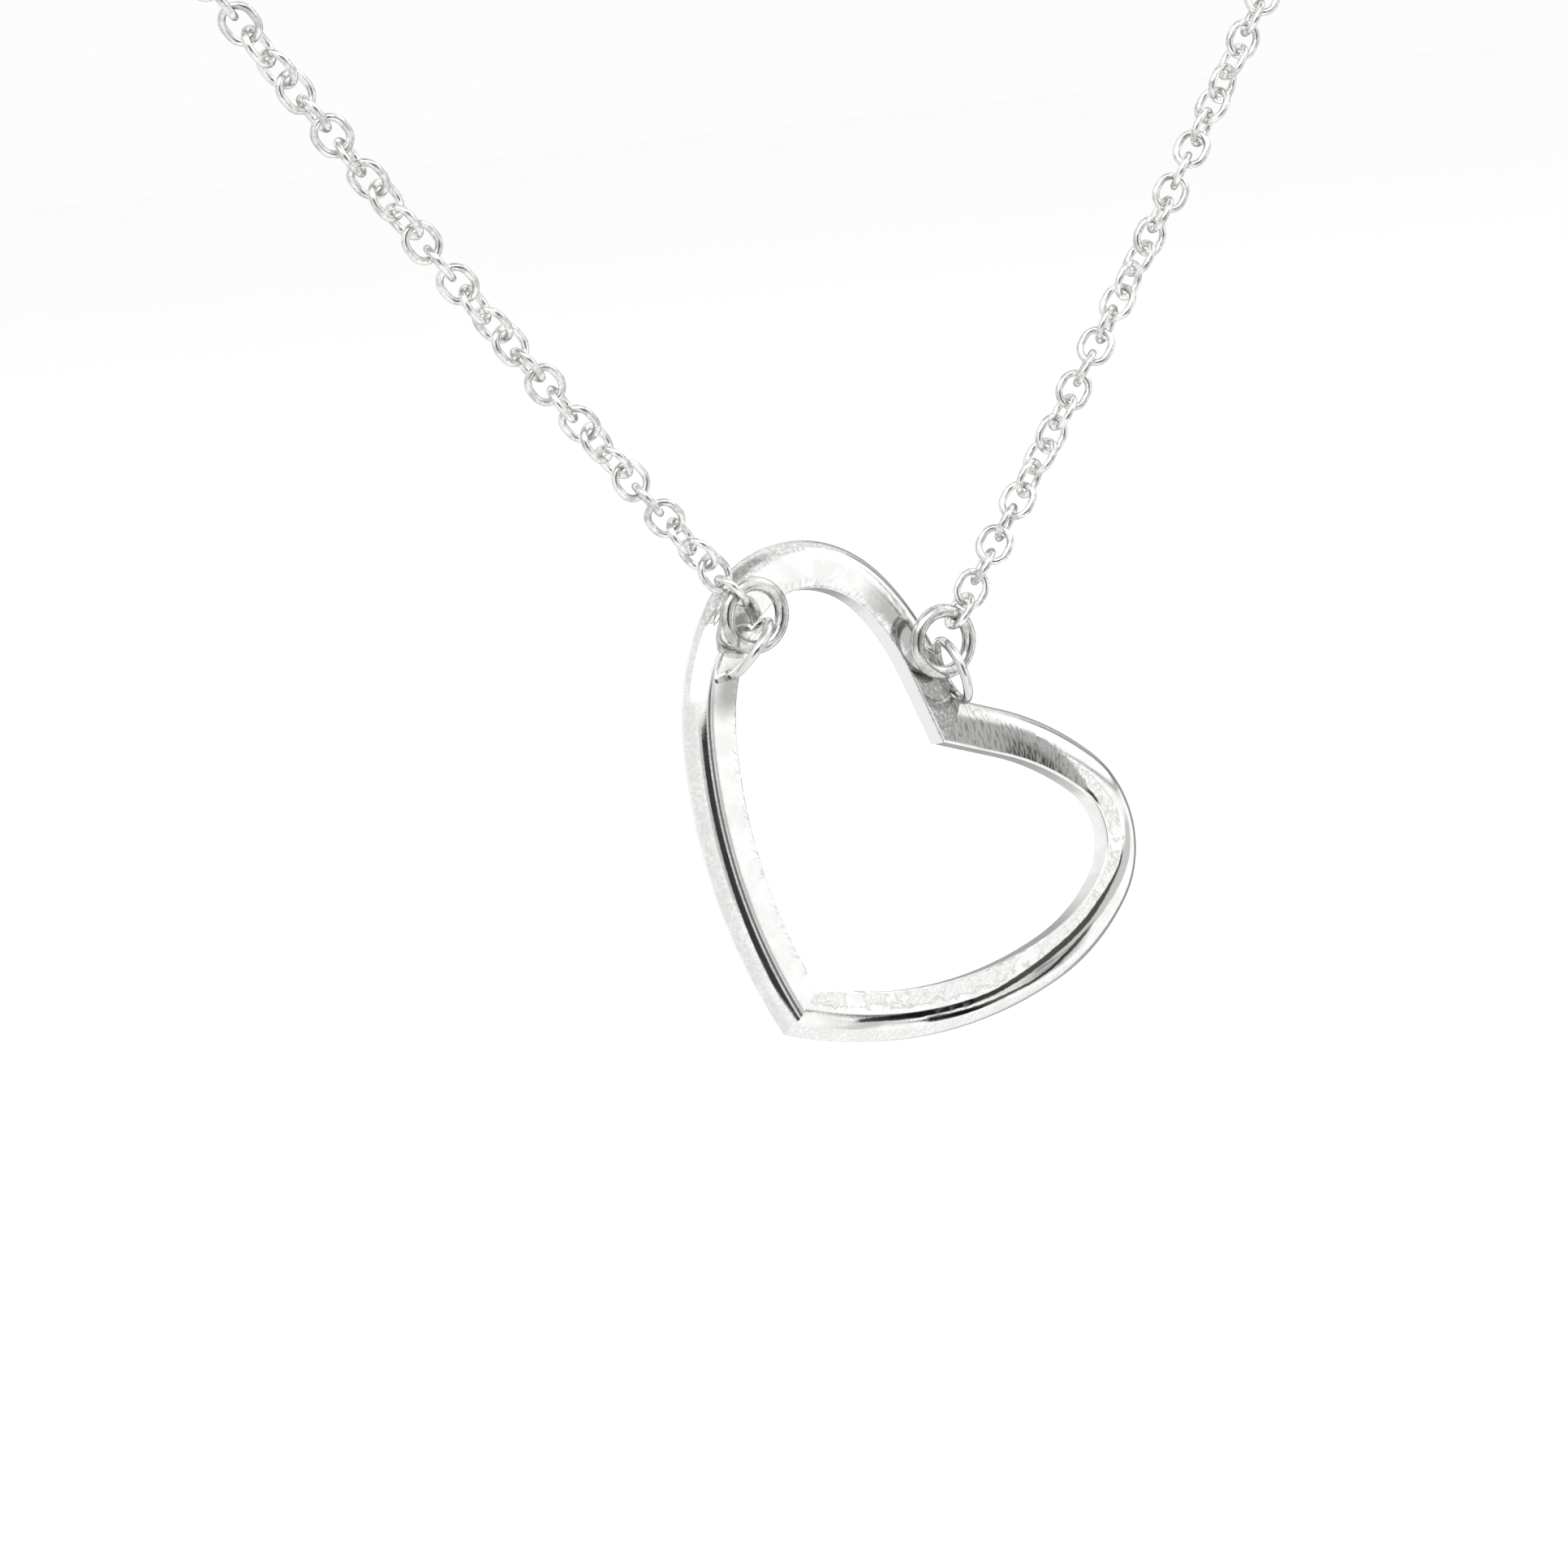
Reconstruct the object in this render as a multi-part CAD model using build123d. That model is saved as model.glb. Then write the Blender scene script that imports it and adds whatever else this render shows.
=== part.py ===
from build123d import *
import os
from math import acos, atan, atan2, ceil, cos, degrees, pi, radians, sin

# Heart necklace, hanging as if round a neck. The origin is the middle of the clasp at the nape.
# +Z is up and the front looks towards -Y. Lengths are millimetres, angles degrees.

# Heart: a band with an upright inner wall, a flat front and a wide outer shoulder, which leaves the
# front smoothly and meets the outer wall in an edge
heart_width = 34.5
band_width = 3.0
band_depth = 1.35
shoulder_width = 1.6
shoulder_radius = 1.75
edge_radius = 0.12

# Middle line of the band. Each half leaves the tip at its own angle from the heart's upright line, then
# bends back in three arcs (radius as a share of heart_width, turn). A last arc leads into a straight run
# that ends in the notch.
notch_share = 0.608
right_tip_angle = 67.0
right_bends = [(0.8165, 39.4), (0.377, 27.8), (0.150, 92.0)]
right_last_share = 0.51
left_tip_angle = 68.4
left_bends = [(0.896, 31.7), (0.394, 31.9), (0.196, 101.5)]
left_last_share = 0.398

# Near the tip the hole runs on between the halves, up to a rounded crease. The band is narrower from there
# to these shares of each half.
crease_side = -0.1
crease_height = 1.08
crease_radius = 0.5
right_narrow_share = 0.11
left_narrow_share = 0.25

# How it hangs: turned clockwise as seen from the front, foot leaning forward under its loops
heart_turn = 44.6
heart_lean = 11.4

# Two loops of round wire stand on the left half of the band, let into it and soldered. Each place is a
# share of the way from tip to notch, and a share of the band's width out from its middle line.
loop_outer = 4.45
loop_wire = 0.58
metal_behind_loop = 0.1
left_loop_along = 0.499
left_loop_out = -0.366
left_loop_facing = -1.8
left_loop_lean = 9.4
right_loop_along = 0.937
right_loop_out = 0.225
right_loop_facing = 57.0
right_loop_lean = 16.0

# Jump rings, upright, with their wire through the middle of the loops
ring_outer = 4.6
ring_wire = 0.85
left_ring_angle = 15.8
right_ring_angle = -12.8

# Chain: oval links of round wire, each a quarter turn from the last and a little more
link_length = 2.58
link_width = 2.2
link_wire = 0.44
running_gap = 0.13
left_twist = 15.0
right_twist = 10.0

# Clasp: a plain closed ring
clasp_outer = 6.0
clasp_wire = 0.85

# Strands: their angle from upright where their lines meet, steepening on a large radius as a hanging
# chain does, then a bend over the shoulder and a half circle round the nape
strand_angle = 40.4
sag_radius = 642.0
shoulder_bend = 18.0
neck_radius = 58.6

left_shape = (left_tip_angle, left_bends, left_last_share)
right_shape = (right_tip_angle, right_bends, right_last_share)
front = Vector(0, -1, 0)
up = Vector(0, 0, 1)


# Direction on the heart's face for a heading, clockwise from upright
def heading_vector(heading):
    return Vector(sin(radians(heading)), 0, cos(radians(heading)))


# Point of an arc after a turn; an arc is its start, heading, radius and whole turn
def arc_point(arc, turn):
    start, heading, radius, _ = arc
    centre = start + heading_vector(heading - 90) * radius
    return centre + heading_vector(heading - turn + 90) * radius


# Middle line of one half, as if it were the right one: its arcs, then start, heading and length of the
# straight run into the notch
def half_line(tip_angle, bends, last_share):
    arcs = []
    point = Vector(0, 0, 0)
    heading = tip_angle
    for share, turn in bends:
        arcs.append((point, heading, share * heart_width, turn))
        point = arc_point(arcs[-1], turn)
        heading = heading - turn
    radius = last_share * heart_width
    to_notch = Vector(0, 0, notch_share * heart_width) - point - heading_vector(heading - 90) * radius
    length = (to_notch.length**2 - radius**2) ** 0.5
    run_heading = degrees(atan2(to_notch.X, to_notch.Z) - atan2(radius, length))
    arcs.append((point, heading, radius, heading - run_heading))
    return arcs, arc_point(arcs[-1], arcs[-1][3]), run_heading, length


# Point of a half's band, as if it were the right one, at a share of the way from tip to notch and a share
# of the band's width out from its middle line
def band_point(shape, along, out):
    arcs, point, heading, length = half_line(*shape)
    rest = along * (sum(radius * radians(turn) for _, _, radius, turn in arcs) + length)
    for arc in arcs:
        turn = degrees(rest / arc[2])
        if turn <= arc[3]:
            point = arc_point(arc, turn)
            heading = arc[1] - turn
            rest = 0
            break
        rest -= arc[2] * radians(arc[3])
    return point + heading_vector(heading) * rest + heading_vector(heading + 90) * (out * band_width)


# Section of the band as a face at a point, with its flat front towards -Y
def band_section(point, outward):
    half_width = band_width / 2
    half_depth = band_depth / 2
    shoulder_drop = shoulder_radius - (shoulder_radius**2 - shoulder_width**2) ** 0.5
    shoulder_start = (half_width - shoulder_width, -half_depth)
    shoulder_end = (half_width, shoulder_drop - half_depth)
    plane = Plane(origin=point, x_dir=outward, z_dir=outward.cross(front) * -1)
    with BuildSketch(plane) as section:
        with BuildLine():
            Polyline(shoulder_start, (-half_width, -half_depth), (-half_width, half_depth),
                     (half_width, half_depth), shoulder_end)
            RadiusArc(shoulder_start, shoulder_end, -shoulder_radius)
        make_face()
        for corner in (-half_width, -half_depth), (-half_width, half_depth), (half_width, half_depth):
            fillet(section.vertices().sort_by_distance(corner)[0], edge_radius)
    return section.sketch


# One half of the band, cut on the upright line at tip and notch
def heart_half(shape):
    arcs, run_start, run_heading, run_length = half_line(*shape)
    # The first arc and the straight run go on past the cut
    past = 1.5 * band_width
    _, heading, radius, turn = arcs[0]
    back = degrees(past / radius)
    arcs[0] = (arc_point(arcs[0], -back), heading + back, radius, turn + back)
    run_section = band_section(run_start, heading_vector(run_heading + 90))
    half = extrude(run_section, run_length + past, heading_vector(run_heading))
    for start, heading, radius, turn in arcs:
        inward = heading_vector(heading - 90)
        centre = Axis(start + inward * radius, front)
        half += revolve(band_section(start, inward * -1), axis=centre, revolution_arc=turn)
    side = Pos(heart_width, 0, heart_width / 2) * Box(2 * heart_width, 4 * band_depth, 4 * heart_width)
    return half & side


# What the hole takes from the band between the halves at the tip
def tip_opening():
    crease = (crease_side, crease_height)
    left = band_point(left_shape, left_narrow_share, -0.5)
    right = band_point(right_shape, right_narrow_share, -0.5)
    left_radius = left_bends[0][0] * heart_width - band_width / 2
    right_radius = right_bends[0][0] * heart_width - band_width / 2
    with BuildSketch(Plane.XZ) as outline:
        with BuildLine():
            RadiusArc(crease, (right.X, right.Z), right_radius)
            Line((right.X, right.Z), (-left.X, left.Z))
            RadiusArc((-left.X, left.Z), crease, left_radius)
        make_face()
        fillet(outline.vertices().sort_by_distance(crease)[0], crease_radius)
    return extrude(outline.sketch, band_depth, both=True)


# A closed ring of round wire, upright, seen as a circle from the front
def wire_ring(outer, wire):
    return Rot(X=90) * Torus(outer / 2 - wire / 2, wire / 2)


# Middle of a soldered loop in the heart's own frame, standing forward of the band
def loop_place(along, out):
    point = band_point(left_shape, along, out)
    stand = loop_outer / 2 - band_depth / 2 + metal_behind_loop
    return Vector(-point.X, -stand, point.Z)


# A soldered loop, its flat side facing along the heart's width before it is turned
def soldered_loop(place, facing, lean):
    return Location(place) * Rot(Y=-facing) * Rot(Z=-lean) * Rot(Z=90) * wire_ring(loop_outer, loop_wire)


# Point and frame of a strand at a length from the meeting point, side -1 is left and 1 is right
def route_plane(length, side):
    if length <= strand_length:
        angle = radians(strand_angle) - length / sag_radius
        across = sag_radius * (cos(angle) - cos(radians(strand_angle)))
        rise = sag_radius * (sin(radians(strand_angle)) - sin(angle))
        along = Vector(side * sin(angle), 0, cos(angle))
        flank = Vector(cos(angle), 0, -side * sin(angle))
        return Plane(origin=meeting_point + Vector(side * across, 0, rise), x_dir=flank, z_dir=along)
    top = route_plane(strand_length, side)
    if length <= strand_length + shoulder_bend * pi / 2:
        angle = (length - strand_length) / shoulder_bend
        offset = top.z_dir * (shoulder_bend * sin(angle)) + front * (shoulder_bend * (cos(angle) - 1))
        along = top.z_dir * cos(angle) - front * sin(angle)
        return Plane(origin=top.origin + offset, x_dir=top.x_dir, z_dir=along)
    angle = (length - strand_length - shoulder_bend * pi / 2) / neck_radius
    outward = Vector(side * cos(angle), sin(angle), 0)
    along = Vector(-side * sin(angle), cos(angle), 0)
    flank = (outward * cos(radians(top_angle)) - up * sin(radians(top_angle))) * side
    return Plane(origin=Vector(outward.X, outward.Y - 1, 0) * neck_radius, x_dir=flank, z_dir=along)


# One oval link, upright, its flat side facing along X
def oval_link():
    bend = (link_width - link_wire) / 2
    run = link_length - link_width
    with BuildPart() as link:
        with BuildLine(Plane.YZ) as path:
            Line((bend, -run / 2), (bend, run / 2))
            CenterArc((0, run / 2), bend, 0, 180)
            Line((-bend, run / 2), (-bend, -run / 2))
            CenterArc((0, -run / 2), bend, 180, 180)
        with BuildSketch(Plane(origin=(0, bend, -run / 2), z_dir=(0, 0, 1))):
            Circle(link_wire / 2)
        sweep(path=path.wires()[0])
    return link.part


# All links of a strand, from the jump ring to the clasp
def strand_links(ring_length, side, twist):
    link = oval_link()
    reach = (link_length - link_wire) / 2 - link_wire / 2 - running_gap
    first = ring_length + ring_outer / 2 - ring_wire + reach
    last = half_length - clasp_outer / 2 + clasp_wire - reach
    steps = ceil((last - first) / (link_length - 2 * link_wire - running_gap))
    # The last link stands square to the clasp, as the first does to its ring
    square = side * 90 * steps - 90 + top_angle
    whole_twist = square + 180 * round((twist * steps - square) / 180)
    links = []
    for i in range(steps + 1):
        plane = route_plane(first + (last - first) * i / steps, side)
        links.append(plane.location * Rot(Z=90 * i - side * whole_twist * i / steps) * link)
    return links


# Length and height of a strand up to the shoulder, from closing the loop at the nape
reach_across = neck_radius + sag_radius * cos(radians(strand_angle))
bend_reach = (sag_radius**2 + shoulder_bend**2) ** 0.5
top_angle = degrees(acos(reach_across / bend_reach) + atan(shoulder_bend / sag_radius))
strand_length = sag_radius * radians(strand_angle - top_angle)
strand_rise = sag_radius * (sin(radians(strand_angle)) - sin(radians(top_angle)))
half_length = strand_length + (shoulder_bend + neck_radius) * pi / 2
meeting_height = -strand_rise - shoulder_bend * cos(radians(top_angle))
meeting_point = Vector(0, -neck_radius - shoulder_bend, meeting_height)

# Heart and loops in the heart's own frame, turned to hang, then leaned about the line through the loops
left_place = loop_place(left_loop_along, left_loop_out)
right_place = loop_place(right_loop_along, right_loop_out)
heart = mirror(heart_half(left_shape), about=Plane.YZ)
heart += heart_half(right_shape)
heart -= tip_opening()
heart += soldered_loop(left_place, left_loop_facing, left_loop_lean)
heart += soldered_loop(right_place, right_loop_facing, right_loop_lean)
turned = Rot(Y=heart_turn)
left_hook = (turned * Location(left_place)).position
right_hook = (turned * Location(right_place)).position
heart = (turned * heart).rotate(Axis(left_hook, right_hook - left_hook), -heart_lean)

# Jump rings over the loops; both strands run from them to the point where their lines meet
ring_radius = (ring_outer - ring_wire) / 2
left_ring = left_hook + heading_vector(left_ring_angle) * ring_radius
right_ring = right_hook + heading_vector(right_ring_angle) * ring_radius
span = (right_ring.X - left_ring.X) / sin(radians(strand_angle))
step = (left_ring.Z - right_ring.Z) / cos(radians(strand_angle))
left_length = (span + step) / 2
right_length = (span - step) / 2
crossing = left_ring + Vector(sin(radians(strand_angle)), 0, -cos(radians(strand_angle))) * left_length
heart = Location(meeting_point - crossing) * heart
ring_left = Location(route_plane(left_length, -1).origin) * wire_ring(ring_outer, ring_wire)
ring_right = Location(route_plane(right_length, 1).origin) * wire_ring(ring_outer, ring_wire)

parts = {
    "heart": heart,
    "ring_left": ring_left,
    "ring_right": ring_right,
    "chain_left": Compound(children=strand_links(left_length, -1, left_twist)),
    "chain_right": Compound(children=strand_links(right_length, 1, right_twist)),
    "clasp": wire_ring(clasp_outer, clasp_wire),
}

os.makedirs("parts", exist_ok=True)
for name, shape in parts.items():
    export_step(shape, f"parts/{name}.step")
    print(name, len(shape.solids()), round(shape.volume, 1))
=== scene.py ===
import bpy
from math import atan2, cos, degrees, pi, radians, sin
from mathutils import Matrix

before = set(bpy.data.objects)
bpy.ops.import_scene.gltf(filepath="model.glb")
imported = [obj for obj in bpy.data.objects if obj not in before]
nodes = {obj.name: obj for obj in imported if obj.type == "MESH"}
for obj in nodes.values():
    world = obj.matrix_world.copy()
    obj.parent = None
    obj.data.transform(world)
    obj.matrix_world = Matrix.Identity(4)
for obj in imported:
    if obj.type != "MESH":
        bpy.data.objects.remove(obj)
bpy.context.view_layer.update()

from types import SimpleNamespace
from mathutils import Matrix, Vector

scene = bpy.context.scene
millimetres = 1000.0  # in a metre; finishes are laid out in millimetres
print("frame loaded:", ", ".join(sorted(nodes)))


# helpers for shader trees

def addNode(tree, kind, values=None, **settings):
    node = tree.nodes.new(kind)
    for name, value in settings.items():
        setattr(node, name, value)
    for key, value in (values or {}).items():
        if isinstance(value, bpy.types.NodeSocket):
            tree.links.new(value, node.inputs[key])
        else:
            node.inputs[key].default_value = value
    return node


def doMath(tree, operation, first, second=0.0, third=0.0):
    return addNode(tree, "ShaderNodeMath", {0: first, 1: second, 2: third}, operation=operation).outputs[0]


def doVector(tree, operation, first, second=(0.0, 0.0, 0.0)):
    node = addNode(tree, "ShaderNodeVectorMath", {0: first, 1: second}, operation=operation)
    return node.outputs["Value" if operation in ("DOT_PRODUCT", "LENGTH") else "Vector"]


def multiply(tree, first, *others):
    for other in others:
        first = doMath(tree, "MULTIPLY", first, other)
    return first


def easeRange(tree, value, low, high, toLow=0.0, toHigh=1.0):
    values = {"Value": value, "From Min": low, "From Max": high, "To Min": toLow, "To Max": toHigh}
    return addNode(tree, "ShaderNodeMapRange", values, interpolation_type="SMOOTHSTEP").outputs[0]


def fadeRange(tree, value, low, high):
    return easeRange(tree, value, low, high, 1.0, 0.0)


def bumpRange(tree, value, start, full, fade, end):
    return multiply(tree, easeRange(tree, value, start, full), fadeRange(tree, value, fade, end))


def mixColors(tree, factor, first, second):
    return addNode(tree, "ShaderNodeMix", {0: factor, 6: first, 7: second}, data_type="RGBA").outputs[2]


def addNoise(tree, place, scale, detail=2.0, roughness=0.5):
    values = {"Vector": place, "Scale": scale, "Detail": detail, "Roughness": roughness}
    return addNode(tree, "ShaderNodeTexNoise", values).outputs[0]


def joinParts(tree, x=0.0, y=0.0, z=0.0):
    return addNode(tree, "ShaderNodeCombineXYZ", {"X": x, "Y": y, "Z": z}).outputs[0]


def newGroup(name, inputs, outputs):
    tree = bpy.data.node_groups.new(name, "ShaderNodeTree")
    for socketName, kind, value in inputs:
        socket = tree.interface.new_socket(name=socketName, in_out="INPUT", socket_type="NodeSocket" + kind)
        if value is not None:
            socket.default_value = value
    for socketName, kind in outputs:
        tree.interface.new_socket(name=socketName, in_out="OUTPUT", socket_type="NodeSocket" + kind)
    return tree, tree.nodes.new("NodeGroupInput").outputs, tree.nodes.new("NodeGroupOutput").inputs


def placeGroup(tree, group, values):
    return addNode(tree, "ShaderNodeGroup", values, node_tree=group).outputs


def newMaterial(name, metallic=0.0):
    material = bpy.data.materials.new(name)
    material.use_nodes = True
    shader = material.node_tree.nodes["Principled BSDF"]
    shader.inputs["Metallic"].default_value = metallic
    return material, material.node_tree, shader


def linkFinish(tree, shader, color, roughness, height, strength, distance=0.0002):
    bump = addNode(tree, "ShaderNodeBump", {"Height": height, "Strength": strength, "Distance": distance})
    tree.links.new(color, shader.inputs["Base Color"])
    tree.links.new(roughness, shader.inputs["Roughness"])
    tree.links.new(bump.outputs[0], shader.inputs["Normal"])


# camera: in front and to the left, a little above the heart, tipped as the photograph was

cameraView = {
    "place": (-0.11884, -0.27000, -0.03926),
    "forward": (0.4915, 0.8512, -0.1840),
    "up": (0.1801, 0.1074, 0.9777),
    "lens": 87.84,
    "sensor": 36.0,
    "clip": (0.01, 20.0),
}


def buildCamera():
    data = bpy.data.cameras.new("camera")
    data.lens = cameraView["lens"]
    data.sensor_width = cameraView["sensor"]
    data.clip_start, data.clip_end = cameraView["clip"]
    camera = bpy.data.objects.new("camera", data)
    scene.collection.objects.link(camera)
    back = -Vector(cameraView["forward"]).normalized()
    right = Vector(cameraView["up"]).cross(back).normalized()
    turn = Matrix((right, back.cross(right), back)).transposed().to_4x4()
    camera.matrix_world = Matrix.Translation(cameraView["place"]) @ turn
    scene.camera = camera


buildCamera()
print("camera placed")


# studio: white all round, with cards that only the silver mirrors. Azimuth 0 is the front, positive to
# the right, elevation 0 is level, and slant turns a card's long side up from level, all in degrees.

cardValues = ("Card Azimuth", "Card Elevation", "Half Length", "Half Width", "Slant", "Blur", "Dark")
studio = {
    "level": 1.1,
    "seen": 0.98,  # what the camera sees behind the necklace
    "cards": {  # in the order of cardValues; a Dark below 0 is a lamp
        "cameraBody": (-17, 2, 19, 12, 90, 4, 0.96),
        "cameraEdge": (-34, 8, 14, 5, 90, 6, 0.4),
        "stand": (6, 3, 20, 5, 90, 4, 0.8),
        "veil": (6, 3, 19, 15, 90, 6, 0.25),
        "standEdge": (19, 4, 12, 2.5, 90, 4, 0.4),
        "tableEdge": (35.5, -9.5, 8, 3.0, 97, 3, 0.9),
        "tableLeg": (31.5, -31, 15, 2.2, 88, 4, 0.5),
        "tableShade": (51, -20, 13, 4, -55, 5, 0.4),
        "tableCorner": (44, -31, 9, 3.2, -45, 3, 0.95),
        "tableRim": (46.5, -14, 13, 1.8, -62, 3, 0.6),
        "windowBar": (84, 9.5, 38, 1.8, -5, 4, 0.6),
        "doorway": (108, -4, 34, 7, 90, 8, 0.65),
        "shelf": (-108, 0, 30, 7, 90, 8, 0.55),
        "topLamp": (-35, 46, 45, 14, 0, 8, -1.4),
        "sideLamp": (75, 37, 22, 12, 0, 8, -1.2),
    },
    "backWall": {"dark": 0.62, "from": 56, "to": 25},  # degrees from the camera's own direction
    "leftWall": {"dark": 0.1, "from": -40, "to": -60},  # azimuth
    "ceiling": {"dark": 0.5, "from": 62, "to": 78},  # elevation
}


def cardGroup():
    inputs = [(name, "Float", 0.0) for name in ("Azimuth", "Elevation") + cardValues]
    tree, given, result = newGroup("studioCard", inputs, [("Level", "Float")])
    across = doMath(tree, "SUBTRACT", given["Azimuth"], given["Card Azimuth"])
    rise = doMath(tree, "SUBTRACT", given["Elevation"], given["Card Elevation"])
    slant = doMath(tree, "RADIANS", given["Slant"])
    cosine = doMath(tree, "COSINE", slant)
    sine = doMath(tree, "SINE", slant)
    along = doMath(tree, "MULTIPLY_ADD", across, cosine, multiply(tree, rise, sine))
    aside = doMath(tree, "SUBTRACT", multiply(tree, rise, cosine), multiply(tree, across, sine))
    soft = multiply(tree, given["Blur"], 0.5)
    shade = given["Dark"]
    for distance, half in ((along, given["Half Length"]), (aside, given["Half Width"])):
        inside = fadeRange(tree, doMath(tree, "ABSOLUTE", distance), doMath(tree, "SUBTRACT", half, soft),
                           doMath(tree, "ADD", half, soft))
        shade = multiply(tree, shade, inside)
    tree.links.new(doMath(tree, "SUBTRACT", 1.0, shade), result["Level"])
    return tree


def buildStudio():
    world = bpy.data.worlds.new("studio")
    world.use_nodes = True
    scene.world = world
    tree = world.node_tree
    tree.nodes.clear()
    way = addNode(tree, "ShaderNodeTexCoord").outputs["Generated"]
    parts = addNode(tree, "ShaderNodeSeparateXYZ", {0: way}).outputs
    frontward = multiply(tree, parts["Y"], -1.0)
    azimuth = doMath(tree, "DEGREES", doMath(tree, "ARCTAN2", parts["X"], frontward))
    elevation = doMath(tree, "DEGREES", doMath(tree, "ARCSINE", parts["Z"]))
    card = cardGroup()
    level = studio["level"]
    for numbers in studio["cards"].values():
        values = {"Azimuth": azimuth, "Elevation": elevation, **dict(zip(cardValues, numbers))}
        level = multiply(tree, placeGroup(tree, card, values)["Level"], level)
    backward = doVector(tree, "DOT_PRODUCT", way, cameraView["forward"])
    wall = studio["backWall"]
    start, end = cos(radians(wall["from"])), cos(radians(wall["to"]))
    back = easeRange(tree, backward, start, end, 1.0, 1.0 - wall["dark"])
    wall = studio["leftWall"]
    left = easeRange(tree, azimuth, wall["to"], wall["from"], 1.0 - wall["dark"], 1.0)
    wall = studio["ceiling"]
    top = easeRange(tree, elevation, wall["from"], wall["to"], 1.0, 1.0 - wall["dark"])
    level = multiply(tree, level, back, left, top)
    white = (1, 1, 1, 1)
    mirrored = addNode(tree, "ShaderNodeBackground", {"Color": white, "Strength": level}).outputs[0]
    plain = addNode(tree, "ShaderNodeBackground", {"Color": white, "Strength": studio["seen"]}).outputs[0]
    glossy = addNode(tree, "ShaderNodeLightPath").outputs["Is Glossy Ray"]
    mix = addNode(tree, "ShaderNodeMixShader", {0: glossy, 1: plain, 2: mirrored}).outputs[0]
    addNode(tree, "ShaderNodeOutputWorld", {"Surface": mix})


buildStudio()


# floor: pale, well below the heart

floorValues = {
    "height": -0.150,
    "half": 6.0,
    "color": (0.985, 0.985, 0.98, 1),
    "grain": 900.0,
    "grainRange": (0.3, 0.7),
    "roughness": (0.75, 0.85),
}


def buildFloor():
    half = floorValues["half"]
    height = floorValues["height"]
    mesh = bpy.data.meshes.new("floor")
    corners = [(-half, -half, height), (half, -half, height), (half, half, height), (-half, half, height)]
    mesh.from_pydata(corners, [], [(0, 1, 2, 3)])
    floor = bpy.data.objects.new("floor", mesh)
    scene.collection.objects.link(floor)
    material, tree, shader = newMaterial("paleFloor")
    place = addNode(tree, "ShaderNodeTexCoord").outputs["Object"]
    grain = addNoise(tree, place, floorValues["grain"])
    roughness = easeRange(tree, grain, *floorValues["grainRange"], *floorValues["roughness"])
    tree.links.new(roughness, shader.inputs["Roughness"])
    shader.inputs["Base Color"].default_value = floorValues["color"]
    mesh.materials.append(material)
    floor.visible_glossy = False  # the silver mirrors the studio, not the floor


buildFloor()

# lamps: soft light for the floor, which the silver doesn't mirror
lamps = {
    "key": {"place": (0.5, -0.6, 0.7), "size": 0.8, "power": 4.0},
    "fill": {"place": (-0.8, -0.3, 0.5), "size": 0.8, "power": 3.0},
}


def buildLamps():
    for name, values in lamps.items():
        data = bpy.data.lights.new(name, "AREA")
        data.shape = "DISK"
        data.size = values["size"]
        data.energy = values["power"]
        lamp = bpy.data.objects.new(name, data)
        scene.collection.objects.link(lamp)
        lamp.location = values["place"]
        lamp.rotation_euler = (-Vector(values["place"])).to_track_quat("-Z", "Y").to_euler()
        lamp.visible_glossy = False


buildLamps()
scene.view_settings.view_transform = "Standard"
scene.view_settings.look = "None"
print("studio lit")


# silver: wear and tool marks, shared by all four finishes

wearValues = {
    "grainDetail": 5.0,
    "grainRoughness": 0.6,
    "grainShare": 0.5,
    "cloudDetail": 3.0,
    "worn": (0.62, 0.95),
}
markValues = {"detail": 3.0, "bare": 0.62, "cover": 0.24, "soft": 0.1}


def wearGroup():
    inputs = [("Vector", "Vector", None), ("Color", "Color", (0.93, 0.92, 0.91, 1)),
              ("Worn Color", "Color", (0.8, 0.8, 0.78, 1)), ("Roughness", "Float", 0.08),
              ("Worn Roughness", "Float", 0.2), ("Grain", "Float", 6.0), ("Clouds", "Float", 0.6)]
    outputs = [("Color", "Color"), ("Roughness", "Float"), ("Height", "Float")]
    tree, given, result = newGroup("silverWear", inputs, outputs)
    grain = addNoise(tree, given["Vector"], given["Grain"], wearValues["grainDetail"],
                     wearValues["grainRoughness"])
    clouds = addNoise(tree, given["Vector"], given["Clouds"], wearValues["cloudDetail"])
    worn = doMath(tree, "MULTIPLY_ADD", grain, wearValues["grainShare"], clouds)
    worn = easeRange(tree, worn, *wearValues["worn"])
    spread = doMath(tree, "SUBTRACT", given["Worn Roughness"], given["Roughness"])
    roughness = doMath(tree, "MULTIPLY_ADD", worn, spread, given["Roughness"])
    tree.links.new(mixColors(tree, worn, given["Color"], given["Worn Color"]), result["Color"])
    tree.links.new(roughness, result["Roughness"])
    tree.links.new(grain, result["Height"])
    return tree


# short marks of a file or polishing stick: noise drawn out along one direction of the given place
def marksGroup():
    inputs = [("Vector", "Vector", None), ("Across", "Float", 7.0), ("Along", "Float", 0.9),
              ("Turn", "Float", 0.0), ("Cover", "Float", 0.5)]
    tree, given, result = newGroup("toolMarks", inputs, [("Mask", "Float"), ("Height", "Float")])
    turn = joinParts(tree, z=doMath(tree, "RADIANS", given["Turn"]))
    turned = addNode(tree, "ShaderNodeMapping", {"Vector": given["Vector"], "Rotation": turn}).outputs[0]
    drawn = doVector(tree, "MULTIPLY", turned, joinParts(tree, given["Across"], given["Along"], 1.0))
    lines = addNoise(tree, drawn, 1.0, markValues["detail"])
    low = doMath(tree, "SUBTRACT", markValues["bare"], multiply(tree, given["Cover"], markValues["cover"]))
    mask = easeRange(tree, lines, low, doMath(tree, "ADD", low, markValues["soft"]))
    tree.links.new(mask, result["Mask"])
    tree.links.new(lines, result["Height"])
    return tree


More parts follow.
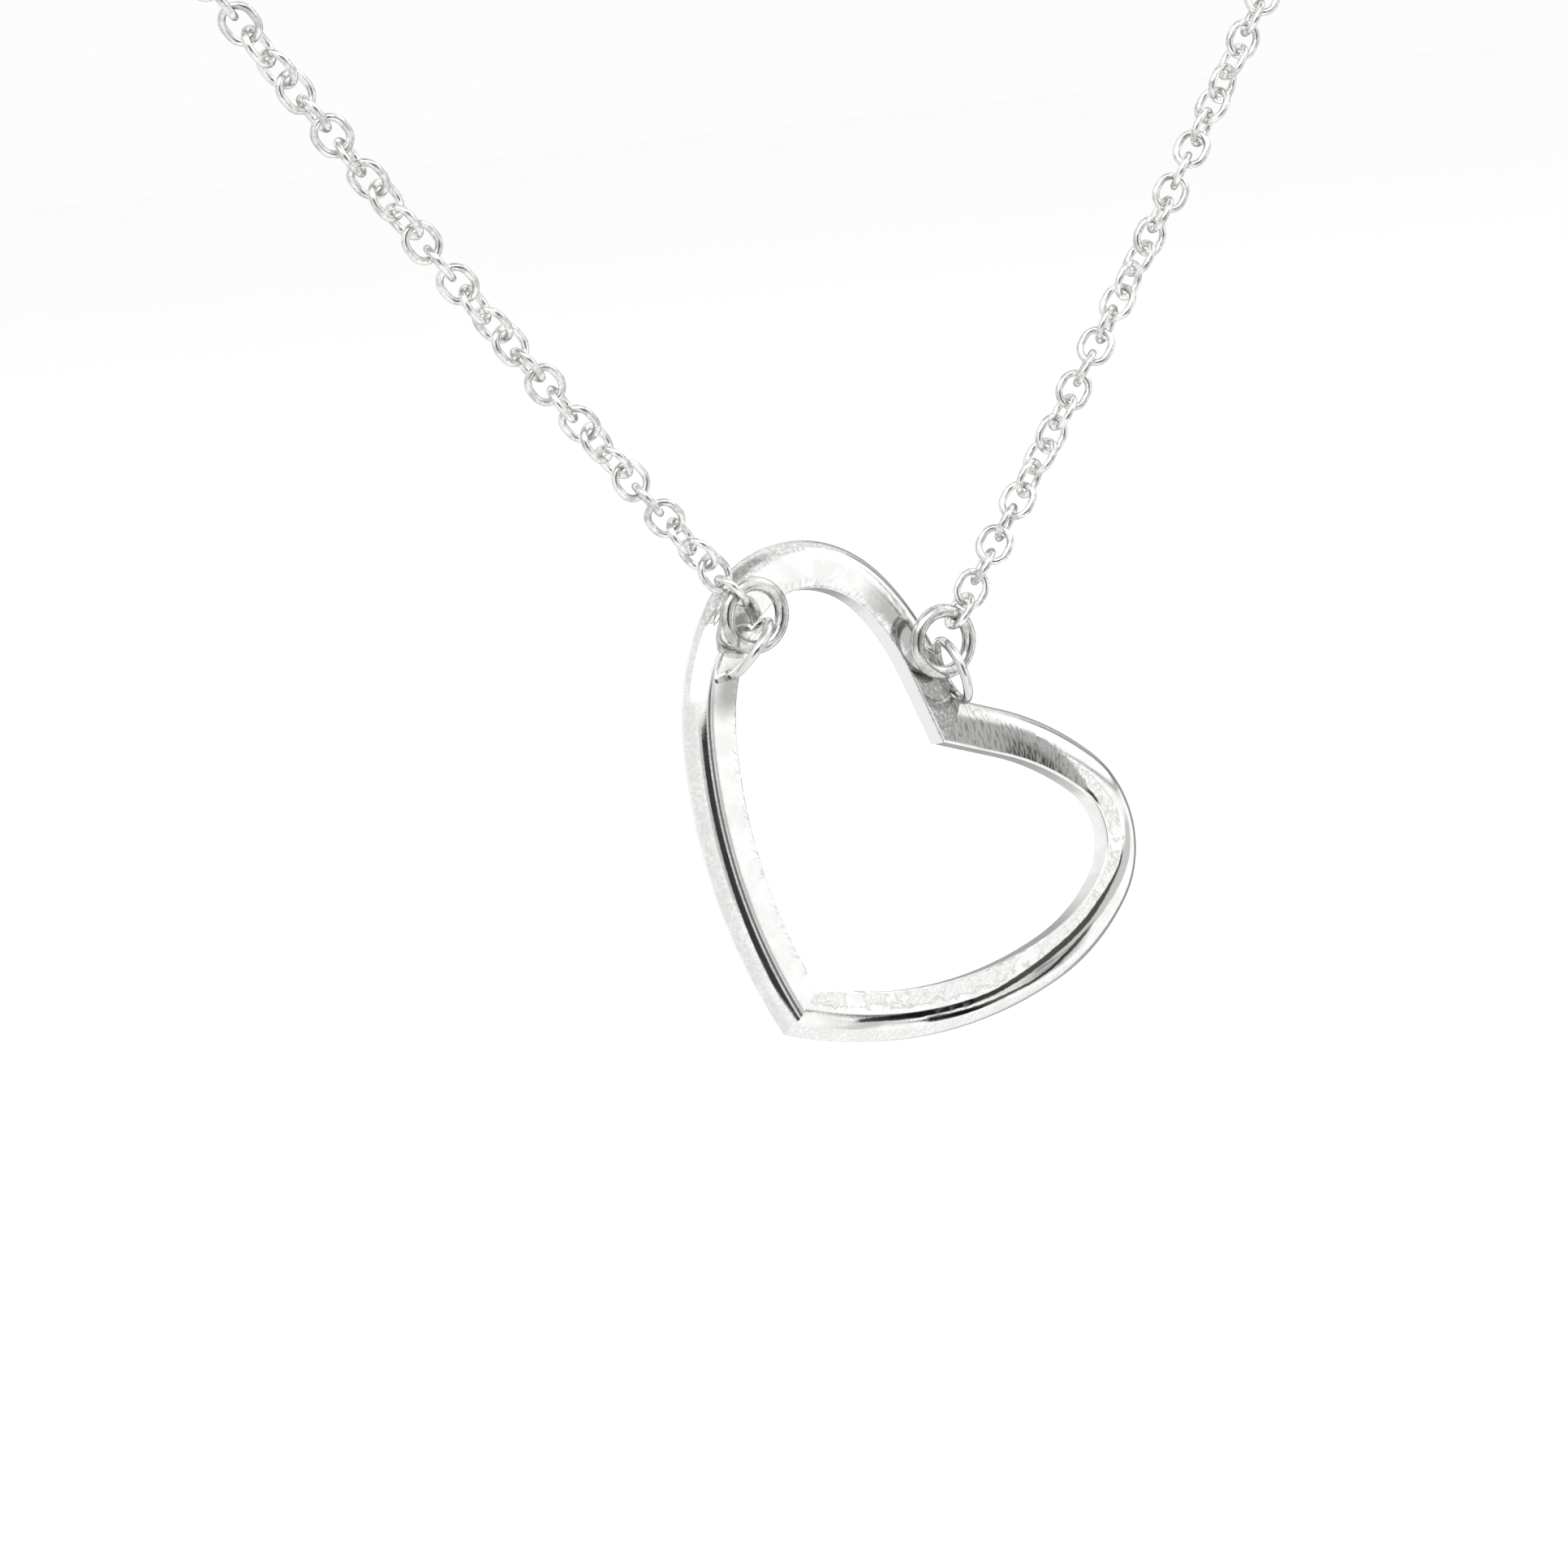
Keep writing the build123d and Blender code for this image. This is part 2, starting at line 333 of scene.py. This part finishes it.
wear = wearGroup()
marks = marksGroup()


def placeWear(tree, place, values):
    given = {"Vector": place, "Color": values["color"], "Worn Color": values["worn"],
             "Roughness": values["roughness"], "Worn Roughness": values["wornRoughness"],
             "Grain": values["grain"], "Clouds": values["clouds"]}
    return placeGroup(tree, wear, given)


# heart: its own frame and the two halves of its band, so that the finish can follow the metal

heartFrame = {
    "place": (-0.0090584, -0.0791536, -0.0940703),
    "side": (0.7144, -0.1019, -0.6923),
    "back": (-0.0464, 0.9803, -0.1921),
    "up": (0.6982, 0.1694, 0.6956),
    "face": (0.990, 0.9993),  # how squarely a surface looks forward, for the flat face
    "front": (0.1, 0.3),  # and for all that is seen from the front
}

# middle line of the band: each half leaves the tip at its own angle, bends back in three arcs (radius as a
# share of the width, turn), then in a last arc, and runs straight into the notch
bandLine = {
    "width": 34.5,
    "notch": 0.608,
    "right": {"tipAngle": 67.0, "bends": [(0.8165, 39.4), (0.377, 27.8), (0.150, 92.0)], "last": 0.51},
    "left": {"tipAngle": 68.4, "bends": [(0.896, 31.7), (0.394, 31.9), (0.196, 101.5)], "last": 0.398},
    "reach": 2.2,  # a place farther from an arc's line belongs to another arc
    "beforeTip": 20.0,  # degrees that the first arc runs on past the tip
    "pastNotch": 3.0,  # millimetres that the straight run goes on past the notch
}


def headingVector(heading):
    return Vector((sin(radians(heading)), cos(radians(heading))))


# arcs of one half as (centre, radius, start heading, turn, length before), then its straight run
def halfArcs(half):
    arcs = []
    point = Vector((0.0, 0.0))
    heading = half["tipAngle"]
    length = 0.0
    for share, turn in half["bends"]:
        radius = share * bandLine["width"]
        centre = point + headingVector(heading - 90) * radius
        arcs.append((centre, radius, heading, turn, length))
        heading -= turn
        point = centre + headingVector(heading + 90) * radius
        length += radius * radians(turn)
    radius = half["last"] * bandLine["width"]
    centre = point + headingVector(heading - 90) * radius
    toNotch = Vector((0.0, bandLine["notch"] * bandLine["width"])) - centre
    run = (toNotch.length ** 2 - radius ** 2) ** 0.5
    runHeading = degrees(atan2(toNotch.x, toNotch.y) - atan2(radius, run))
    arcs.append((centre, radius, heading, heading - runHeading, length))
    start = centre + headingVector(runHeading + 90) * radius
    length += radius * radians(heading - runHeading)
    return arcs, (start, runHeading, run, length)


# place along the band from the tip, and across it from its middle with outward positive, in millimetres
def bandGroup(name, half):
    outputs = [("Along", "Float"), ("Across", "Float")]
    tree, given, result = newGroup(name, [("Vector", "Vector", None)], outputs)
    arcs, (start, runHeading, run, runLength) = halfArcs(half)
    parts = addNode(tree, "ShaderNodeSeparateXYZ", {0: given["Vector"]}).outputs
    side = doMath(tree, "ABSOLUTE", parts["X"])
    sums = {"Along": 0.0, "Across": 0.0}

    def gather(along, across, after, before):
        near = doMath(tree, "LESS_THAN", doMath(tree, "ABSOLUTE", across), bandLine["reach"])
        inside = multiply(tree, after, before, near)
        for key, value in (("Along", along), ("Across", across)):
            sums[key] = doMath(tree, "MULTIPLY_ADD", inside, value, sums[key])

    for centre, radius, heading, turn, length in arcs:
        x = doMath(tree, "SUBTRACT", side, centre.x)
        z = doMath(tree, "SUBTRACT", parts["Z"], centre.y)
        outward = doMath(tree, "DEGREES", doMath(tree, "ARCTAN2", x, z))
        turned = doMath(tree, "SUBTRACT", heading + 90, outward)
        distance = doMath(tree, "SQRT", doMath(tree, "MULTIPLY_ADD", x, x, multiply(tree, z, z)))
        earliest = 0.0 if length else -bandLine["beforeTip"]
        gather(doMath(tree, "MULTIPLY_ADD", turned, radius * pi / 180, length),
               doMath(tree, "SUBTRACT", distance, radius),
               doMath(tree, "GREATER_THAN", turned, earliest), doMath(tree, "LESS_THAN", turned, turn))
    ahead = headingVector(runHeading)
    out = headingVector(runHeading + 90)
    x = doMath(tree, "SUBTRACT", side, start.x)
    z = doMath(tree, "SUBTRACT", parts["Z"], start.y)
    along = doMath(tree, "MULTIPLY_ADD", x, ahead.x, multiply(tree, z, ahead.y))
    gather(doMath(tree, "ADD", along, runLength),
           doMath(tree, "MULTIPLY_ADD", x, out.x, multiply(tree, z, out.y)),
           doMath(tree, "GREATER_THAN", along, 0.0),
           doMath(tree, "LESS_THAN", along, run + bandLine["pastNotch"]))
    for key, value in sums.items():
        tree.links.new(value, result[key])
    return tree, runLength + run


# polish of the whole heart, under all its marks
heartFinish = {
    "color": (0.93, 0.925, 0.915, 1),
    "worn": (0.84, 0.838, 0.826, 1),
    "roughness": 0.05,
    "wornRoughness": 0.11,
    "grain": 7.0,
    "clouds": 0.7,
    "bump": 0.016,
    "ragged": {"scale": 2.6, "detail": 4.0, "size": 0.9},  # makes the edges of all marks uneven
    "fine": {"scale": 5.0, "detail": 4.0},
}


# where a point lies on the heart, for all the masks
def heartPlaces(tree):
    turn = Matrix([heartFrame[key] for key in ("side", "back", "up")]).transposed().to_euler()
    place = addNode(tree, "ShaderNodeTexCoord").outputs["Object"]
    values = {"Vector": place, "Location": heartFrame["place"], "Rotation": turn,
              "Scale": (1 / millimetres,) * 3}
    local = addNode(tree, "ShaderNodeMapping", values, vector_type="TEXTURE").outputs[0]
    normal = addNode(tree, "ShaderNodeNewGeometry").outputs["Normal"]
    facing = addNode(tree, "ShaderNodeVectorTransform", {0: normal}, vector_type="NORMAL",
                     convert_from="WORLD", convert_to="OBJECT").outputs[0]
    forward = doVector(tree, "DOT_PRODUCT", facing, tuple(-part for part in heartFrame["back"]))
    front = easeRange(tree, forward, *heartFrame["front"])
    parts = addNode(tree, "ShaderNodeSeparateXYZ", {0: local}).outputs
    at = SimpleNamespace(local=local, depth=parts["Y"], front=front)
    at.face = easeRange(tree, forward, *heartFrame["face"])
    at.rightSide = doMath(tree, "GREATER_THAN", parts["X"], 0.0)
    at.leftSide = doMath(tree, "SUBTRACT", 1.0, at.rightSide)
    at.rightFront = multiply(tree, front, at.rightSide)
    at.leftFront = multiply(tree, front, at.leftSide)
    rightBand, at.rightLength = bandGroup("rightBand", bandLine["right"])
    leftBand, _ = bandGroup("leftBand", bandLine["left"])
    at.right = placeGroup(tree, rightBand, {"Vector": local})
    at.left = placeGroup(tree, leftBand, {"Vector": local})
    at.rightFlat = joinParts(tree, at.right["Along"], at.right["Across"])
    at.leftFlat = joinParts(tree, at.left["Along"], at.left["Across"])
    values = heartFinish["ragged"]
    noise = addNoise(tree, local, values["scale"], values["detail"])
    at.ragged = doMath(tree, "MULTIPLY_ADD", noise, values["size"], -values["size"] / 2)
    at.fine = addNoise(tree, local, heartFinish["fine"]["scale"], heartFinish["fine"]["detail"])
    return at


# cool grey of the inner wall, a painted reflection, from the left lobe to the notch
innerWall = {"color": (0.85, 0.867, 0.867, 1), "along": (30.0, 40.0), "across": (-1.47, -1.42)}


# painted reflection: the inner wall's colour mixed to a cool grey
def addInnerWall(tree, at, color):
    mask = multiply(tree, easeRange(tree, at.left["Along"], *innerWall["along"]), at.leftSide,
                    fadeRange(tree, at.left["Across"], *innerWall["across"]))
    return mixColors(tree, mask, color, innerWall["color"])


# grey along the outer border, grain with painted shade, wider and darker on top of the left lobe
border = {
    "color": (0.76, 0.76, 0.75, 1),
    "topColor": (0.45, 0.45, 0.44, 1),
    "across": (0.75, 1.0),
    "ragged": 0.4,
    "grain": {"scale": 4.5, "detail": 5.0, "roughness": 0.7, "range": (0.42, 0.56), "least": 0.15},
    "top": {"along": (22.5, 25.0, 31.0, 36.0), "wider": 0.3, "share": 0.5},
}


# painted shade: the outer border greyed in speckles, darker on top of the left lobe
def addBorder(tree, at, color):
    top = multiply(tree, bumpRange(tree, at.left["Along"], *border["top"]["along"]), at.leftSide)
    outward = doMath(tree, "MULTIPLY_ADD", at.right["Across"], at.rightSide,
                     multiply(tree, at.left["Across"], at.leftSide))
    outward = doMath(tree, "MULTIPLY_ADD", top, border["top"]["wider"], outward)
    outward = doMath(tree, "MULTIPLY_ADD", at.ragged, border["ragged"], outward)
    grain = border["grain"]
    speckle = addNoise(tree, at.local, grain["scale"], grain["detail"], grain["roughness"])
    strip = multiply(tree, easeRange(tree, outward, *border["across"]),
                     easeRange(tree, speckle, *grain["range"], grain["least"], 1.0))
    color = mixColors(tree, multiply(tree, strip, at.front), color, border["color"])
    return mixColors(tree, multiply(tree, strip, top, border["top"]["share"]), color, border["topColor"])


# matt, mottled skin on the right half's face, in patches with grey outlines
skinFinish = {
    "color": (0.77, 0.77, 0.755, 1),
    "outlineColor": (0.56, 0.56, 0.55, 1),
    "across": (-1.42, -1.25, -0.55, -0.25),
    "ragged": 0.9,
    "patches": {"scale": 0.55, "detail": 6.0, "roughness": 0.65, "range": (0.43, 0.50)},
    "outline": (0.05, 0.4, 0.5, 0.9),
    "outlineShare": 0.8,
    "mottled": (0.35, 0.7),
    "rougher": 0.07,
}


def addSkin(tree, at, color):
    patches = skinFinish["patches"]
    noise = addNoise(tree, at.local, patches["scale"], patches["detail"], patches["roughness"])
    across = doMath(tree, "ADD", at.right["Across"], multiply(tree, at.ragged, skinFinish["ragged"]))
    cover = multiply(tree, bumpRange(tree, across, *skinFinish["across"]),
                     easeRange(tree, noise, *patches["range"]))
    rightFace = multiply(tree, at.face, at.rightSide)
    skin = multiply(tree, cover, rightFace)
    outline = multiply(tree, bumpRange(tree, cover, *skinFinish["outline"]), skinFinish["outlineShare"],
                       rightFace)
    tone = mixColors(tree, easeRange(tree, at.fine, *skinFinish["mottled"]), skinFinish["color"],
                     heartFinish["color"])
    color = mixColors(tree, skin, color, tone)
    return mixColors(tree, outline, color, skinFinish["outlineColor"]), skin


# dark lines of the right half, painted reflections, in the order of painting: where each lies across the
# band and half its
#  width, at places along the band
reflectionLines = {
    "shade": {  # broad, pale painted shade, under the others
        "line": [(17.0, 0.1), (21.0, -0.25), (25.0, -0.25), (28.0, 0.0), (31.0, 0.3)],
        "width": [(17.0, 0.03), (20.0, 0.16), (24.0, 0.26), (27.5, 0.22), (30.5, 0.1)],
        "color": (0.52, 0.52, 0.51, 1),
    },
    "upper": {
        "line": [(3.6, 0.36), (6.7, 0.19), (9.6, 0.17), (13.4, 0.09), (15.4, -0.09), (17.5, -0.26),
                 (19.9, -0.45), (22.5, -0.52), (24.7, -0.56), (27.2, -0.42), (28.9, -0.2)],
        "width": [(3.6, 0.04), (6.0, 0.09), (13.0, 0.1), (19.0, 0.14), (23.5, 0.13), (26.0, 0.04),
                  (28.6, 0.01)],
        "color": (0.07, 0.07, 0.068, 1),
    },
    "lower": {
        "line": [(8.6, 0.56), (12.0, 0.61), (14.5, 0.54), (17.2, 0.50), (20.3, 0.10), (23.0, -0.1)],
        "width": [(8.4, 0.12), (11.0, 0.1), (14.0, 0.06), (17.0, 0.04), (21.0, 0.07), (23.0, 0.03)],
        "color": (0.1, 0.1, 0.098, 1),
    },
    "innerEdgeLine": {  # painted dark reflection along the inner edge of the lobe
        "line": [(32.0, -1.36), (34.0, -1.33), (37.0, -1.32), (41.0, -1.36), (43.5, -1.4)],
        "width": [(32.0, 0.03), (34.0, 0.08), (37.0, 0.09), (41.0, 0.04), (43.5, 0.01)],
        "color": (0.05, 0.05, 0.049, 1),
    },
}
reflectionLineEdge = {"ragged": 0.12, "soft": 0.1, "start": 0.3, "fade": 1.5}
curveSpan = {"longest": 50.0, "widest": 2.0}  # a float curve runs from 0 to 1 both ways


# value that follows the given (along, value) places along the band
def followLine(tree, along, places):
    longest, widest = curveSpan["longest"], curveSpan["widest"]
    node = addNode(tree, "ShaderNodeFloatCurve", {"Value": doMath(tree, "DIVIDE", along, longest)})
    points = [(x / longest, (y + widest) / (2 * widest)) for x, y in places]
    curve = node.mapping.curves[0]
    curve.points[0].location, curve.points[1].location = points[0], points[-1]
    for x, y in points[1:-1]:
        curve.points.new(x, y)
    node.mapping.update()
    return doMath(tree, "MULTIPLY_ADD", node.outputs[0], 2 * widest, -widest)


# painted reflections: each dark line mixed into the colour of the right half's front
def addReflectionLines(tree, at, color):
    along = at.right["Along"]
    for reflectionLine in reflectionLines.values():
        offset = doMath(tree, "SUBTRACT", at.right["Across"], followLine(tree, along, reflectionLine["line"]))
        offset = doMath(tree, "MULTIPLY_ADD", at.ragged, reflectionLineEdge["ragged"], offset)
        half = followLine(tree, along, reflectionLine["width"])
        mask = fadeRange(tree, doMath(tree, "ABSOLUTE", offset), half,
                         doMath(tree, "ADD", half, reflectionLineEdge["soft"]))
        first, last = reflectionLine["line"][0][0], reflectionLine["line"][-1][0]
        ends = bumpRange(tree, along, first - reflectionLineEdge["start"], first + reflectionLineEdge["start"],
                         last - reflectionLineEdge["fade"], last)
        color = mixColors(tree, multiply(tree, mask, ends, at.rightFront), color, reflectionLine["color"])
    return color


# file marks from the notch to the right lobe, their dark grey a painted reflection, darkest in a hatched
# patch near the inner edge
fileMarksAndReflection = {
    "light": (0.42, 0.42, 0.41, 1),
    "dark": (0.25, 0.25, 0.245, 1),
    "deepReflection": (0.05, 0.05, 0.049, 1),
    "reach": [(33.4, -1.3), (35.1, -0.6), (37.0, -0.02), (39.0, 0.36), (40.8, 0.62), (42.6, 0.9),
              (44.6, 1.0)],  # how far out they go at each place along
    "along": (33.0, 34.2),
    "across": (-1.49, -1.42),
    "soft": 0.12,
    "ragged": 0.3,
    "strokes": {"Across": 7.0, "Along": 1.3, "Turn": 25.0, "Cover": 0.5},
    "deepFromNotch": (2.5, 5.5, 8.0, 11.0),
    "deepBelow": (-1.15, -0.7),
    "deepSpikes": 1.6,
    "deepLines": (0.40, 0.56),
    "deepLeast": 0.35,
    "deepShare": 0.95,
    "rougher": 0.15,
    "height": 3.0,
}


# painted reflection: dark grey mixed in over the file strokes, which also roughen and bump the metal
def addFileMarksAndReflection(tree, at, color):
    values = fileMarksAndReflection
    along, across = at.right["Along"], at.right["Across"]
    strokes = placeGroup(tree, marks, {"Vector": at.rightFlat, **values["strokes"]})
    spikes = doMath(tree, "SUBTRACT", strokes["Height"], 0.5)
    level = doMath(tree, "MULTIPLY_ADD", at.ragged, values["ragged"], across)
    level = doMath(tree, "SUBTRACT", level, followLine(tree, along, values["reach"]))
    outer = fadeRange(tree, doMath(tree, "ADD", level, spikes), -values["soft"], values["soft"])
    filedWithReflection = multiply(tree, outer, easeRange(tree, along, *values["along"]),
                     easeRange(tree, across, *values["across"]), at.rightFront)
    fromNotch = doMath(tree, "SUBTRACT", at.rightLength, along)
    spiky = doMath(tree, "MULTIPLY_ADD", spikes, values["deepSpikes"], level)
    deepReflection = multiply(tree, bumpRange(tree, fromNotch, *values["deepFromNotch"]),
                    fadeRange(tree, spiky, *values["deepBelow"]),
                    easeRange(tree, strokes["Height"], *values["deepLines"], values["deepLeast"], 1.0),
                    values["deepShare"])
    tone = mixColors(tree, strokes["Mask"], values["light"], values["dark"])
    tone = mixColors(tree, deepReflection, tone, values["deepReflection"])
    return mixColors(tree, filedWithReflection, color, tone), filedWithReflection, multiply(tree, strokes["Height"], filedWithReflection)


# painted shade by the soldered loops and in the notch, on the left half
shadeByLoops = {
    "ragged": 2.0,
    "rightLoop": {  # painted shade beside it, on the face
        "color": (0.45, 0.45, 0.44, 1),
        "along": (34.5, 38.0, 40.5, 42.0),
        "across": (-1.5, -1.0, -0.3, 0.3),
    },
    # painted shade in the notch
    "notch": {
        "color": (0.31, 0.31, 0.302, 1),
        "along": (41.0, 42.5),
        "across": (-1.47, -1.35),
        "mottled": (0.3, 0.55),
        "least": 0.55,
    },
    "underLeftLoop": {  # painted shadow under the loop, placed in the heart's own frame
        "color": (0.31, 0.31, 0.302, 1),
        "place": (-14.0, -0.7, 13.4),
        "squeeze": (1.0, 0.5, 0.55),
        "ragged": 0.3,
        "reach": (0.4, 1.5),
        "share": 0.8,
    },
    "besideLeftLoop": {  # painted shade beside the loop, placed along and across the band
        "color": (0.16, 0.16, 0.156, 1),
        "place": (24.4, -0.45, 0.0),
        "squeeze": (0.55, 1.0, 1.0),
        "ragged": 1.0,
        "reach": (0.2, 1.0),
        "share": 0.9,
    },
}


def spotMask(tree, at, place, spot):
    away = doVector(tree, "MULTIPLY", doVector(tree, "SUBTRACT", place, spot["place"]), spot["squeeze"])
    distance = doMath(tree, "MULTIPLY_ADD", at.ragged, spot["ragged"], doVector(tree, "LENGTH", away))
    return multiply(tree, fadeRange(tree, distance, *spot["reach"]), spot["share"])


# painted shade: grey and dark patches mixed into the colour by the loops and in the notch
def addShadeByLoops(tree, at, color):
    across = at.left["Across"]
    along = doMath(tree, "MULTIPLY_ADD", at.ragged, shadeByLoops["ragged"], at.left["Along"])
    grey = shadeByLoops["rightLoop"]
    mask = multiply(tree, bumpRange(tree, along, *grey["along"]),
                    bumpRange(tree, doMath(tree, "ADD", across, at.ragged), *grey["across"]), at.leftFront)
    color = mixColors(tree, mask, color, grey["color"])
    grey = shadeByLoops["notch"]
    mask = multiply(tree, easeRange(tree, along, *grey["along"]), at.leftFront,
                    easeRange(tree, across, *grey["across"]),
                    easeRange(tree, at.fine, *grey["mottled"], grey["least"], 1.0))
    color = mixColors(tree, mask, color, grey["color"])
    grey = shadeByLoops["underLeftLoop"]
    color = mixColors(tree, spotMask(tree, at, at.local, grey), color, grey["color"])
    grey = shadeByLoops["besideLeftLoop"]
    mask = multiply(tree, spotMask(tree, at, at.leftFlat, grey), at.leftFront)
    return mixColors(tree, mask, color, grey["color"])


# slanting strokes along the inner edge of the left half
edgeStrokes = {
    "color": (0.6, 0.6, 0.585, 1),
    "strokes": {"Across": 4.0, "Along": 1.2, "Turn": 35.0, "Cover": 0.45},
    "across": (-1.2, -0.8),
    "share": 0.6,
}


def addEdgeStrokes(tree, at, color):
    hatch = placeGroup(tree, marks, {"Vector": at.leftFlat, **edgeStrokes["strokes"]})
    edge = multiply(tree, fadeRange(tree, at.left["Across"], *edgeStrokes["across"]), at.leftFront)
    mask = multiply(tree, hatch["Mask"], edge, edgeStrokes["share"])
    return mixColors(tree, mask, color, edgeStrokes["color"]), multiply(tree, hatch["Height"], edge)


# the soldered loops in front of the face, their colour darkened as painted shade
loopShade = {"color": (0.74, 0.74, 0.728, 1), "depth": (-0.85, -0.75)}


# painted shade: everything in front of the face mixed to a darker grey
def addLoopShade(tree, at, color):
    return mixColors(tree, fadeRange(tree, at.depth, *loopShade["depth"]), color, loopShade["color"])


def buildHeartSilver():
    material, tree, shader = newMaterial("heartSilver", metallic=1.0)
    at = heartPlaces(tree)
    polish = placeWear(tree, at.local, heartFinish)
    color = addInnerWall(tree, at, polish["Color"])
    color = addBorder(tree, at, color)
    color, skin = addSkin(tree, at, color)
    color = addReflectionLines(tree, at, color)
    color, filedWithReflection, fileHeight = addFileMarksAndReflection(tree, at, color)
    color = addShadeByLoops(tree, at, color)
    color, strokeHeight = addEdgeStrokes(tree, at, color)
    color = addLoopShade(tree, at, color)
    roughness = doMath(tree, "MULTIPLY_ADD", skin, skinFinish["rougher"], polish["Roughness"])
    roughness = doMath(tree, "MULTIPLY_ADD", filedWithReflection, fileMarksAndReflection["rougher"], roughness)
    height = doMath(tree, "MULTIPLY_ADD", fileHeight, fileMarksAndReflection["height"], polish["Height"])
    height = doMath(tree, "ADD", strokeHeight, height)
    linkFinish(tree, shader, color, roughness, height, heartFinish["bump"])
    return material


# wire of rings, chains and clasp: the heart's silver with its colour darkened in each, most in the rings,
# as painted shade

wires = {
    "ring": {
        "color": (0.74, 0.74, 0.728, 1), "worn": (0.42, 0.42, 0.413, 1),
        "roughness": 0.09, "wornRoughness": 0.18, "grain": 6.0, "clouds": 1.2,
        "bump": 0.03, "turn": 40.0, "scratched": 0.3,
    },
    "chain": {
        "color": (0.90, 0.90, 0.885, 1), "worn": (0.56, 0.56, 0.55, 1),
        "roughness": 0.1, "wornRoughness": 0.2, "grain": 5.0, "clouds": 1.6,
        "bump": 0.03, "turn": 15.0, "scratched": 0.3,
    },
    "clasp": {
        "color": (0.86, 0.86, 0.845, 1), "worn": (0.52, 0.52, 0.51, 1),
        "roughness": 0.1, "wornRoughness": 0.2, "grain": 6.0, "clouds": 1.0,
        "bump": 0.03, "turn": 65.0, "scratched": 0.4,
    },
}
wireScratches = {"Across": 9.0, "Along": 1.5, "Cover": 0.15}


# painted shade: each wire's base colour is set darker than the heart's silver
def buildWireSilver(name, values):
    material, tree, shader = newMaterial(name + "Silver", metallic=1.0)
    place = addNode(tree, "ShaderNodeTexCoord").outputs["Object"]
    place = doVector(tree, "MULTIPLY", place, (millimetres,) * 3)
    worn = placeWear(tree, place, values)
    scratches = placeGroup(tree, marks, {"Vector": place, "Turn": values["turn"], **wireScratches})
    mask = multiply(tree, scratches["Mask"], values["scratched"])
    color = mixColors(tree, mask, worn["Color"], values["worn"])
    linkFinish(tree, shader, color, worn["Roughness"], worn["Height"], values["bump"])
    return material


finishes = {name: buildWireSilver(name, values) for name, values in wires.items()}
finishes["heart"] = buildHeartSilver()
wearers = {"heart": "heart", "ring_left": "ring", "ring_right": "ring", "chain_left": "chain",
           "chain_right": "chain", "clasp": "clasp"}
for node, finish in wearers.items():
    mesh = nodes[node].data
    mesh.materials.clear()
    mesh.materials.append(finishes[finish])
print("silver finished")
